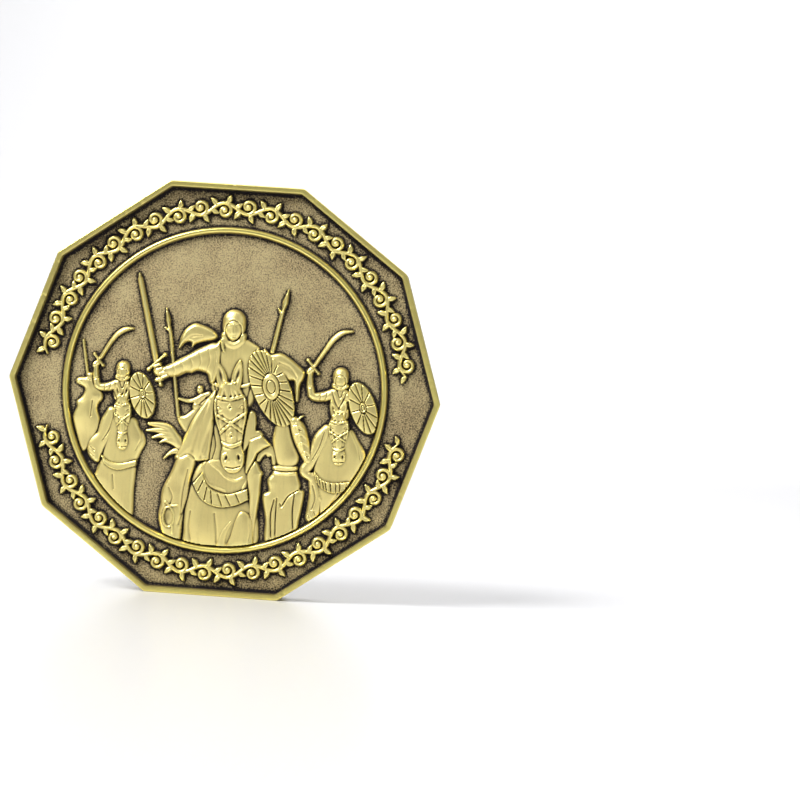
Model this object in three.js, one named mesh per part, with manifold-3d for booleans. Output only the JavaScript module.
// A two-sided, ten-sided challenge coin, struck in antique brass, standing on one of its flat edges.
// Millimetres, +Z up. The obverse faces -Y and the reverse faces +Y. The origin is the middle of the
// edge that the coin stands on. Every device is laid out flat on its face, in face coordinates: u to
// the viewer's right, v up, both from the coin's centre, and height from the sunk field outwards.
import * as THREE from "three";
import { mergeVertices } from "three/addons/utils/BufferGeometryUtils.js";
import Module from "manifold-3d";

// Driving dimensions.
const SIDES = 10;
const ACROSS_CORNERS = 50;
const THICKNESS = 4;
const FIELD_DEPTH = 1; // how far each sunk field lies below its rim
const RIM_WIDTH = 0.75;
const OBVERSE_RING_RADIUS = 18.9;
const REVERSE_RING_RADIUS = 17.1;
const RING_WIDTH = 0.8;
const RING_HEIGHT = 0.6;
const GARLAND_HEIGHT = 0.5;
const OBVERSE_GARLAND_RADIUS = 21;
const OBVERSE_GARLAND_HALF_WIDTH = 1.15;
const REVERSE_GARLAND_RADIUS = 20.3;
const REVERSE_GARLAND_HALF_WIDTH = 1.4;
const SPRIG_HALF_WIDTH = 1;
const WREATH_CENTRE = [0, 2.75];
const WREATH_PLATE_RADIUS = 7.1;

// What follows from them.
const CORNER_RADIUS = ACROSS_CORNERS / 2;
const HALF_SIDE_ANGLE = Math.PI / SIDES;
const APOTHEM = CORNER_RADIUS * Math.cos(HALF_SIDE_ANGLE);
const CORE = THICKNESS - 2 * FIELD_DEPTH;
const RIM_INNER_RADIUS = (APOTHEM - RIM_WIDTH) / Math.cos(HALF_SIDE_ANGLE);
const MEDALLION_RADIUS = OBVERSE_RING_RADIUS - RING_WIDTH;

const RAISED_BRASS = { color: 0xc9b878, roughness: 0.38, metalness: 0.9 };
const FIELD_BRASS = { color: 0x8c8061, roughness: 0.62, metalness: 0.85 };

const wasm = await Module();
wasm.setup();

// ---- Flat shapes, in face coordinates ----

// A closed outline through its corners.
function outline(...corners) {
  return new THREE.Shape(corners.map(([u, v]) => new THREE.Vector2(u, v)));
}

// A regular polygon with a flat side at the bottom, which is near enough a circle with many sides.
function polygon(radius, sides = 60, [u, v] = [0, 0]) {
  const corner = (i) => -Math.PI / 2 + ((2 * i + 1) * Math.PI) / sides;
  return outline(
    ...Array.from({ length: sides }, (_, i) => [
      u + radius * Math.cos(corner(i)),
      v + radius * Math.sin(corner(i)),
    ]),
  );
}

// A polygon with a smaller polygon of the same kind cut out of its middle.
function frame(outerRadius, innerRadius, sides) {
  const shape = polygon(outerRadius, sides);
  shape.holes.push(polygon(innerRadius, sides));
  return shape;
}

// An ellipse whose long axis leans by so many degrees to the viewer's left.
function oval(u, v, across, along, lean = 0, steps = 20) {
  const turn = THREE.MathUtils.degToRad(lean);
  return outline(
    ...Array.from({ length: steps }, (_, i) => {
      const a = (2 * Math.PI * i) / steps;
      const [x, y] = [across * Math.cos(a), along * Math.sin(a)];
      return [
        u + x * Math.cos(turn) - y * Math.sin(turn),
        v + x * Math.sin(turn) + y * Math.cos(turn),
      ];
    }),
  );
}

// A tapered limb through stops of [u, v, radius]: each stretch is the outline of its two end circles
// and the tangents that join them.
function limb(...stops) {
  const arcSteps = 4;
  return stops.slice(1).map(([u1, v1, r1], i) => {
    const [u0, v0, r0] = stops[i];
    const along = Math.atan2(v1 - v0, u1 - u0);
    const swing = Math.acos((r0 - r1) / Math.hypot(u1 - u0, v1 - v0));
    const corners = [];
    for (let k = 0; k <= arcSteps; k++) {
      const a = along + swing + (2 * (Math.PI - swing) * k) / arcSteps;
      corners.push([u0 + r0 * Math.cos(a), v0 + r0 * Math.sin(a)]);
    }
    for (let k = 0; k <= arcSteps; k++) {
      const a = along - swing + (2 * swing * k) / arcSteps;
      corners.push([u1 + r1 * Math.cos(a), v1 + r1 * Math.sin(a)]);
    }
    return outline(...corners);
  });
}

// A star with a long and a short radius.
function star(u, v, points, long, short) {
  return outline(
    ...Array.from({ length: 2 * points }, (_, i) => {
      const a = Math.PI / 2 + (i * Math.PI) / points;
      const r = i % 2 ? short : long;
      return [u + r * Math.cos(a), v + r * Math.sin(a)];
    }),
  );
}

// A leafy band along a path: its half width swells from the stem to the leaf tips and back with each
// leaf, and shrinks to a bud at both ends. A path gives [u, v, angle of its left-hand normal].
function leafyBand(path, leaves, halfWidth) {
  const stem = 0.3 * halfWidth;
  const stepsPerLeaf = 4;
  const steps = leaves * stepsPerLeaf;
  const side = (sign) =>
    Array.from({ length: steps + 1 }, (_, i) => {
      const t = i / steps;
      const swell = Math.abs(Math.sin(Math.PI * leaves * t));
      const ends = Math.min(1, 0.35 + 2 * leaves * Math.min(t, 1 - t));
      const reach = sign * (stem + (halfWidth - stem) * swell) * ends;
      const [u, v, normal] = path(t);
      return [u + reach * Math.cos(normal), v + reach * Math.sin(normal)];
    });
  return outline(...side(1), ...side(-1).reverse());
}

// A path along an arc, from one angle to another in degrees.
function arcPath(radius, fromDegrees, toDegrees, [u, v] = [0, 0]) {
  return (t) => {
    const a = THREE.MathUtils.degToRad(fromDegrees + t * (toDegrees - fromDegrees));
    return [u + radius * Math.cos(a), v + radius * Math.sin(a), a];
  };
}

// A path along a level line.
function levelPath(u, v, length) {
  return (t) => [u + (t - 0.5) * length, v, Math.PI / 2];
}

// ---- Solids ----

// A straight-sided solid from a flat shape, standing on the height where it starts.
function prism(shape, height, start = 0) {
  const geometry = new THREE.ExtrudeGeometry(shape, { depth: height, bevelEnabled: false });
  geometry.translate(0, 0, start);
  geometry.deleteAttribute("normal");
  geometry.deleteAttribute("uv");
  const merged = mergeVertices(geometry, 1e-4);
  return new wasm.Manifold(
    new wasm.Mesh({
      numProp: 3,
      vertProperties: new Float32Array(merged.attributes.position.array),
      triVerts: new Uint32Array(merged.index.array),
    }),
  );
}

// One solid from layers, each a height and the flat shapes that reach it.
function struck(layers) {
  return layers
    .flatMap(([height, ...shapes]) => shapes.flat().map((shape) => prism(shape, height)))
    .reduce((solid, next) => solid.add(next));
}

// The largest of a solid's separate bodies: slivers that a cut leaves behind are dropped.
function largestBody(solid) {
  return solid.decompose().reduce((most, next) => (next.volume() > most.volume() ? next : most));
}

// A solid in face coordinates as a mesh on the coin: outwards is -Y on the obverse and +Y on the
// reverse, and the reverse reads from behind, so its u runs towards -X.
function onFace(name, solid, facing, finish) {
  const { vertProperties, triVerts } = solid.getMesh();
  const places = new Float32Array(vertProperties.length);
  for (let i = 0; i < places.length; i += 3) {
    const [u, v, height] = vertProperties.subarray(i, i + 3);
    places.set([-facing * u, facing * (CORE / 2 + height), v + APOTHEM], i);
  }
  const geometry = new THREE.BufferGeometry();
  geometry.setAttribute("position", new THREE.BufferAttribute(places, 3));
  geometry.setIndex(new THREE.BufferAttribute(new Uint32Array(triVerts), 1));
  geometry.computeVertexNormals();
  const mesh = new THREE.Mesh(geometry, new THREE.MeshStandardMaterial(finish));
  mesh.name = name;
  return mesh;
}

const OBVERSE = -1;
const REVERSE = 1;

// The devices of one face, from the front one to the back one. Each is cut back by those in front
// of it, and the ones that reach the ring are cut off inside it.
function strikeFace(facing, devices, fieldRadius) {
  const group = new THREE.Group();
  const field = prism(polygon(fieldRadius, 60), FIELD_DEPTH);
  const frontMargin = FIELD_DEPTH;
  let front = null;
  for (const [name, ...layers] of devices) {
    const whole = struck(layers).intersect(field);
    const clear = front ? largestBody(whole.subtract(front)) : whole;
    group.add(onFace(name, clear, facing, RAISED_BRASS));
    const shadow = struck(layers.map(([, ...shapes]) => [frontMargin, ...shapes]));
    front = front ? front.add(shadow) : shadow;
  }
  return group;
}

// The rim and the ring of one face.
function borders(prefix, facing, ringRadius) {
  const group = new THREE.Group();
  const rim = prism(frame(CORNER_RADIUS, RIM_INNER_RADIUS, SIDES), FIELD_DEPTH);
  const ring = prism(frame(ringRadius, ringRadius - RING_WIDTH, 60), RING_HEIGHT);
  group.add(onFace(prefix + "_rim", rim, facing, RAISED_BRASS));
  group.add(onFace(prefix + "_ring", ring, facing, RAISED_BRASS));
  return group;
}

function blank() {
  return onFace("coin_blank", prism(polygon(CORNER_RADIUS, SIDES), CORE, -CORE), REVERSE, FIELD_BRASS);
}

// ---- The obverse: three mounted riders in a round medallion, between leafy garlands ----

const SHIELD_LEAN = 22;

// Heights of the obverse relief above its field.
const NEAR = 0.75;
const MIDDLE = 0.6;
const FAR = 0.45;
const TOP = 0.88;

const obverseDevices = [
  ["centre_shield", [NEAR, oval(5.5, 0.6, 2.3, 4.75, 25.8)], [TOP, oval(5.4, 0.8, 0.95, 1.5, 14, 16)]],
  ["right_shield", [NEAR, oval(16.15, -0.97, 1.48, 3.1, SHIELD_LEAN)], [TOP, oval(16.15, -0.9, 0.35, 0.6, 14, 10)]],
  ["left_shield", [NEAR, oval(-9.48, -1.2, 1.4, 2.72, 16.6)], [TOP, oval(-9.4, -1, 0.32, 0.55, 14, 10)]],
  [
    "centre_horse_head",
    [NEAR, limb([0.9, 0.1, 1.05], [1.05, -1.8, 1.75], [1.2, -4.4, 1.55], [1.55, -7.1, 1.2], [1.75, -8.5, 1.15])],
    [NEAR, limb([0.3, 0.9, 0.42], [-0.45, 2.9, 0.16]), limb([0.85, 0.9, 0.42], [1.15, 3.5, 0.18])],
  ],
  [
    "centre_breast_collar",
    [
      MIDDLE + 0.1,
      outline(
        [-1.9, -9.6],
        [-1.3, -10.9],
        [-0.4, -11.6],
        [1.3, -11.9],
        [3.4, -11.2],
        [3.6, -12.4],
        [2.1, -13.2],
        [0.2, -13.5],
        [-1.6, -12.9],
        [-2.8, -11.1],
      ),
    ],
  ],
  [
    "centre_horse_forelegs",
    [MIDDLE, limb([3.15, -15.1, 1.35], [3.1, -17.6, 1.3]), limb([1.45, -15.2, 0.42], [0.95, -17.4, 0.7])],
  ],
  [
    "centre_horse_chest",
    [
      MIDDLE - 0.05,
      outline(
        [-1.4, -8.2],
        [-2.7, -9.4],
        [-3.4, -11.6],
        [-3.75, -14],
        [-3.6, -17.8],
        [4.65, -17.8],
        [4.65, -13.9],
        [3.6, -12.2],
        [3.3, -9.4],
        [2.8, -8.2],
      ),
    ],
  ],
  ["centre_sword", [FAR, limb([-10.65, 12.6, 0.12], [-10.4, 11.8, 0.24], [-8.15, 2.9, 0.27])],
    [FAR, limb([-8.95, 1.85, 0.16], [-7.15, 3.65, 0.16])]],
  [
    "centre_sword_arm",
    [
      MIDDLE,
      limb([-7.45, 1.1, 0.75], [-6.5, 2, 0.68], [-4, 3.1, 0.98], [-1.6, 4.15, 1.2]),
    ],
  ],
  [
    "centre_rider",
    [TOP, limb([0.57, 7.9, 1.34], [0.65, 6.6, 1.2])],
    [
      MIDDLE,
      outline(
        [-1, 6],
        [-1.7, 4.6],
        [-1.9, 2],
        [-1.5, 0],
        [-1, -2.4],
        [-1.2, -5.6],
        [-1.3, -8.2],
        [3.3, -8.2],
        [3.4, -5],
        [4.5, -2],
        [4.6, 3],
        [3.9, 5],
        [2.1, 6.1],
      ),
    ],
  ],
  [
    "centre_rider_left_leg",
    [
      MIDDLE,
      outline([-1.2, -0.2], [-2.5, -1.7], [-3.5, -3.4], [-4.3, -5.6], [-5.2, -8.1], [-4.1, -8.6], [-2, -8.4], [-1.2, -5.6]),
      limb([-4, -8.6, 1.15], [-4.7, -11.6, 1.2], [-5.1, -14.8, 1.4], [-4.9, -17.2, 0.8]),
    ],
  ],
  [
    "centre_rider_right_leg",
    [
      MIDDLE,
      outline([3.2, -9.6], [3.4, -5.5], [4.7, -4.9], [5.95, -6], [4.8, -7.3], [5.1, -9.4], [4.7, -13], [4.6, -17.4], [3.3, -17.4]),
    ],
  ],
  ["right_inner_horse_head", [MIDDLE, limb([8.1, -2.6, 0.55], [8.9, -4.3, 0.85], [9.9, -6.9, 0.6])]],
  [
    "right_inner_horse",
    [MIDDLE - 0.08, limb([7.3, -2.4, 0.85], [7.2, -4.8, 1.2], [7.8, -8.4, 1.35], [7.7, -11.6, 2.15], [7.9, -14.6, 2.05])],
  ],
  ["cloak_left", [FAR, outline([-5.5, 4.6], [-5.5, 6], [-4.75, 7.05], [-3.9, 7.5], [-2.8, 7.3], [-1.65, 6.8],
    [-1.3, 6.2], [-2, 5.6], [-2.8, 5.3], [-3.9, 4.8], [-4.3, 5.45])]],
  ["cloak_right", [FAR, outline([5.1, 4.5], [6.2, 4.75], [8, 3.7], [9.1, 2.7], [8.8, 1.8], [8.6, -0.6],
    [8.3, -0.65], [8.05, 1.5], [7.2, 1.5], [5, 1])]],
  ["left_spear", [FAR, limb([-7.15, 8.6, 0.08], [-6.9, 7.3, 0.27], [-6.55, 5.4, 0.14], [-5.6, -0.6, 0.14], [-5.15, -3.3, 0.14])]],
  ["right_spear", [FAR, limb([6.6, 11.7, 0.08], [6.2, 10.2, 0.3], [5.9, 8.7, 0.16], [5.25, 4.9, 0.17])]],
  ["distant_rider", [FAR - 0.1, limb([-2.8, -0.15, 0.36], [-2.9, -1, 0.45], [-3.1, -2, 0.5]),
    limb([-2.9, -1.15, 0.24], [-4.1, -1.55, 0.16], [-5.2, -1.35, 0.14]), outline([-5.3, -3.5], [-3.2, -2.2], [-2.2, -1.4], [-3.6, -5], [-4.6, -4.6])]],
  ["mane_strands", [FAR - 0.05, limb([-4.6, -7.2, 0.4], [-5.4, -5.7, 0.62], [-7.1, -5, 0.5], [-8.7, -4.7, 0.2]),
    limb([-5.4, -5.9, 0.4], [-6.6, -8, 0.18])]],
  // The rider on the viewer's left.
  ["left_horse_head", [NEAR, limb([-11.7, -1.7, 0.85], [-11.5, -3.8, 0.95], [-11.25, -6.2, 0.62])]],
  ["left_breast_collar", [MIDDLE, outline([-13.7, -8.4], [-12.9, -9.1], [-11.5, -9.2], [-9.6, -8.6], [-9.7, -9.5],
    [-11.6, -9.95], [-13.2, -9.4])]],
  ["left_horse_foreleg", [MIDDLE, limb([-12.9, -3.6, 0.85], [-14.6, -7.2, 0.6], [-14.9, -8.4, 0.62])]],
  ["left_horse_body", [MIDDLE - 0.1, outline([-12.9, -3.6], [-10.3, -4], [-8.8, -6.4], [-9.6, -8.8], [-9.75, -11.6],
    [-9.9, -15.4], [-14.6, -11], [-13.7, -8.2])]],
  ["left_sabre", [FAR, limb([-10.95, 6.4, 0.12], [-12.1, 6.15, 0.24], [-13.05, 5.4, 0.25], [-14.7, 2.8, 0.2]),
    limb([-15.35, 3.2, 0.13], [-14.3, 1.9, 0.13])]],
  ["left_rider", [TOP - 0.05, limb([-11.9, 1.85, 0.78], [-11.9, 1.2, 0.7])],
    [MIDDLE, limb([-12.2, -0.4, 1.05], [-11.8, -1.9, 0.9]), limb([-12.7, 0.1, 0.55], [-14.6, -0.1, 0.42], [-15, 2.1, 0.3])]],
  ["left_spear_far", [FAR, limb([-16.75, 4.7, 0.12], [-16, 0.8, 0.13])]],
  ["far_left_horse", [FAR, limb([-17, 0, 0.3], [-15.8, 0.2, 0.7], [-15.7, -2.2, 1.1], [-15.9, -4.6, 1.55])]],
  // The rider on the viewer's right.
  ["right_horse_head", [NEAR, limb([13.5, -2.4, 0.95], [13.7, -4.4, 1], [13.9, -6.8, 0.62]),
    limb([13, -2, 0.3], [12.85, -1.2, 0.14]), limb([13.9, -2, 0.3], [13.95, -0.95, 0.14])]],
  ["right_breast_collar", [MIDDLE, outline([11.3, -9], [12.6, -9.7], [15.6, -9.4], [15.4, -10], [13.4, -10.7], [11.6, -9.9])]],
  ["right_horse_foreleg", [MIDDLE, limb([11.9, -3.6, 0.8], [10.6, -7.4, 0.62], [9.9, -8.7, 0.55], [10.9, -9.2, 0.4]),
    limb([10.9, -9.2, 0.5], [11, -11.4, 0.62], [10.9, -13.9, 0.5])]],
  ["right_horse_body", [MIDDLE - 0.1, outline([11.4, -3.4], [15, -3.4], [16.2, -4.8], [16.9, -6.6], [16.6, -7.4],
    [12.4, -13.6], [11.2, -9.4], [10.7, -8]), ]],
  ["right_sabre", [FAR, limb([14.3, 7.75, 0.12], [13.2, 7.5, 0.24], [12, 6.5, 0.27], [10.3, 3.6, 0.2]),
    limb([9.45, 4.15, 0.14], [10.7, 2.7, 0.14])]],
  ["right_rider", [TOP - 0.05, limb([13.35, 2.7, 0.88], [13.4, 1.9, 0.8])],
    [MIDDLE, limb([13.1, 0.3, 1.1], [13.3, -1.4, 1]), limb([12.4, 0.8, 0.55], [10.4, 0.3, 0.45], [9.9, 2.7, 0.33])]],
];

const obverseGarlands = [
  ["obverse_garland_upper", arcPath(OBVERSE_GARLAND_RADIUS, 8, 172), 30],
  ["obverse_garland_lower", arcPath(OBVERSE_GARLAND_RADIUS, 195, 347), 28],
];

function obverse() {
  const group = new THREE.Group();
  group.add(borders("obverse", OBVERSE, OBVERSE_RING_RADIUS));
  group.add(strikeFace(OBVERSE, obverseDevices, MEDALLION_RADIUS - 0.02));
  for (const [name, path, leaves] of obverseGarlands) {
    const garland = prism(leafyBand(path, leaves, OBVERSE_GARLAND_HALF_WIDTH), GARLAND_HEIGHT);
    group.add(onFace(name, garland, OBVERSE, RAISED_BRASS));
  }
  return group;
}

// ---- The reverse: a star in a wreath on a stepped plate, with a ribbon and ornament lines ----

const [WREATH_U, WREATH_V] = WREATH_CENTRE;
const RIBBON_HEIGHT = 0.75;

const reverseDevices = [
  ["emblem_ribbon", [RIBBON_HEIGHT, outline([-9.6, -1.1], [-8.7, -2.1], [-9.7, -3.3], [-6.4, -3.5], [0, -4.3], [6.4, -3.5],
    [9.7, -3.3], [8.7, -2.1], [9.6, -1.1], [6.4, -1.4], [0, -2.3], [-6.4, -1.4])]],
  ["emblem_star", [0.9, star(WREATH_U, WREATH_V + 0.55, 8, 3.5, 1.5)]],
  ["emblem_wreath_left", [0.65, leafyBand(arcPath(5.25, 110, 236, WREATH_CENTRE), 7, 0.95)]],
  ["emblem_wreath_right", [0.65, leafyBand(arcPath(5.25, 70, -56, WREATH_CENTRE), 7, 0.95)]],
  ["emblem_plate", [0.3, polygon(WREATH_PLATE_RADIUS, 48, WREATH_CENTRE)], [0.4, polygon(WREATH_PLATE_RADIUS - 0.5, 48, WREATH_CENTRE)]],
];

const reverseOrnaments = [
  ["reverse_garland_top", arcPath(REVERSE_GARLAND_RADIUS, 50, 128), 10, REVERSE_GARLAND_HALF_WIDTH],
  ["reverse_garland_bottom", arcPath(REVERSE_GARLAND_RADIUS, 217, 321), 14, REVERSE_GARLAND_HALF_WIDTH],
  ["reverse_sprig_upper_right", arcPath(REVERSE_GARLAND_RADIUS, 8, 40), 5, SPRIG_HALF_WIDTH],
  ["reverse_sprig_lower_right", arcPath(REVERSE_GARLAND_RADIUS, -32, -1), 5, SPRIG_HALF_WIDTH],
  ["reverse_sprig_upper_left", arcPath(REVERSE_GARLAND_RADIUS, 140, 172), 5, SPRIG_HALF_WIDTH],
  ["reverse_sprig_lower_left", arcPath(REVERSE_GARLAND_RADIUS, 181, 212), 5, SPRIG_HALF_WIDTH],
  ["reverse_leaf_arc", arcPath(12.7, 46, 134, [0, -1]), 12, 0.8],
  ["reverse_scroll_short", levelPath(0, -5.9, 8.8), 5, 0.8],
  ["reverse_scroll_long", levelPath(0, -8.9, 24), 13, 0.9],
];

function reverse() {
  const group = new THREE.Group();
  group.add(borders("reverse", REVERSE, REVERSE_RING_RADIUS));
  group.add(strikeFace(REVERSE, reverseDevices, REVERSE_RING_RADIUS - RING_WIDTH));
  for (const [name, path, leaves, halfWidth] of reverseOrnaments) {
    const ornament = prism(leafyBand(path, leaves, halfWidth), GARLAND_HEIGHT);
    group.add(onFace(name, ornament, REVERSE, RAISED_BRASS));
  }
  return group;
}

const coin = new THREE.Group();
coin.add(blank(), obverse(), reverse());

export default coin;
